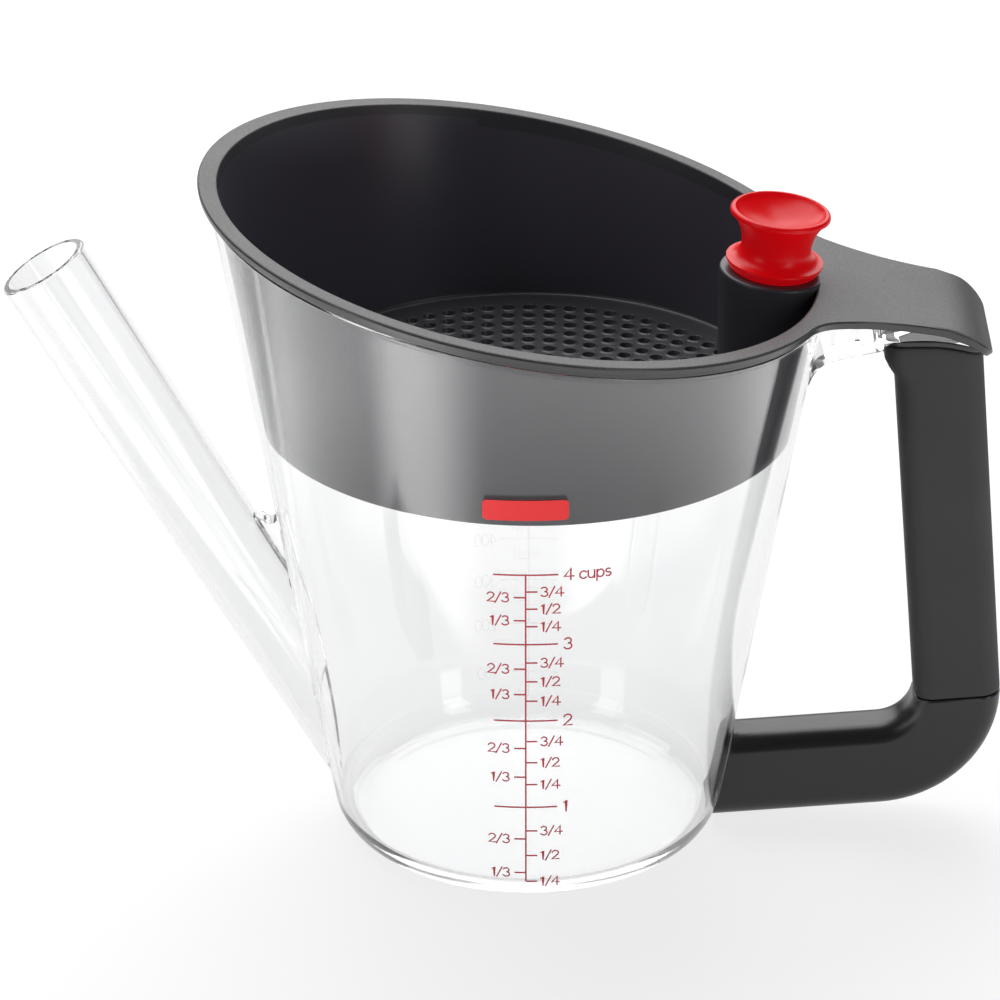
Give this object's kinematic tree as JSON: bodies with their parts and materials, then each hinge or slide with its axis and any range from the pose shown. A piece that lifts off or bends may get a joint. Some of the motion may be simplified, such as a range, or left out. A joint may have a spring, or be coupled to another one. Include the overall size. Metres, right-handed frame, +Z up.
{
  "type": "gravy fat separator",
  "caption": "Clear conical measuring jug with a low-set pouring spout, a slanted rim, a lift-out strainer with a thumb tab, a silicone spout stopper and a two-part handle.",
  "frame": {"origin": "centre of the jug's flat base, on the table", "axes": "+Z up along the jug's axis, +X towards the handle, -X towards the spout"},
  "size_m": [0.2448, 0.1524, 0.1739],
  "materials": {
    "clear_plastic": "clear moulded plastic, polished",
    "black_plastic": "satin moulded plastic",
    "soft_grip": "matt soft-touch rubber",
    "grey_black_plastic": "fine spark-eroded texture",
    "red_silicone": "smooth silicone with a soft sheen",
    "dark_red_print": "screen-printed ink",
    "pale_print": "screen-printed ink seen through the jug",
    "bright_red_print": "screen-printed ink"
  },
  "bodies": {
    "jug": {"cup": "clear_plastic", "spout": "clear_plastic", "handle_core": "black_plastic", "handle_sleeve": "soft_grip", "cup_scale": "dark_red_print", "ml_scale": "pale_print", "plain_bar": "bright_red_print"},
    "strainer": {"strainer_skirt": "grey_black_plastic", "strainer_sieve": "grey_black_plastic", "strainer_tab": "grey_black_plastic", "stopper_well": "grey_black_plastic"},
    "stopper": {"stopper": "red_silicone"}
  },
  "joints": [
    {"name": "strainer_lift", "type": "slide", "parent": "jug", "child": "strainer", "axis": [0, 0, 1], "range_m": [0, 0.1]},
    {"name": "stopper_pull", "type": "slide", "parent": "strainer", "child": "stopper", "axis": [0.0958, 0, 0.9954], "range_m": [0, 0.04]}
  ]
}
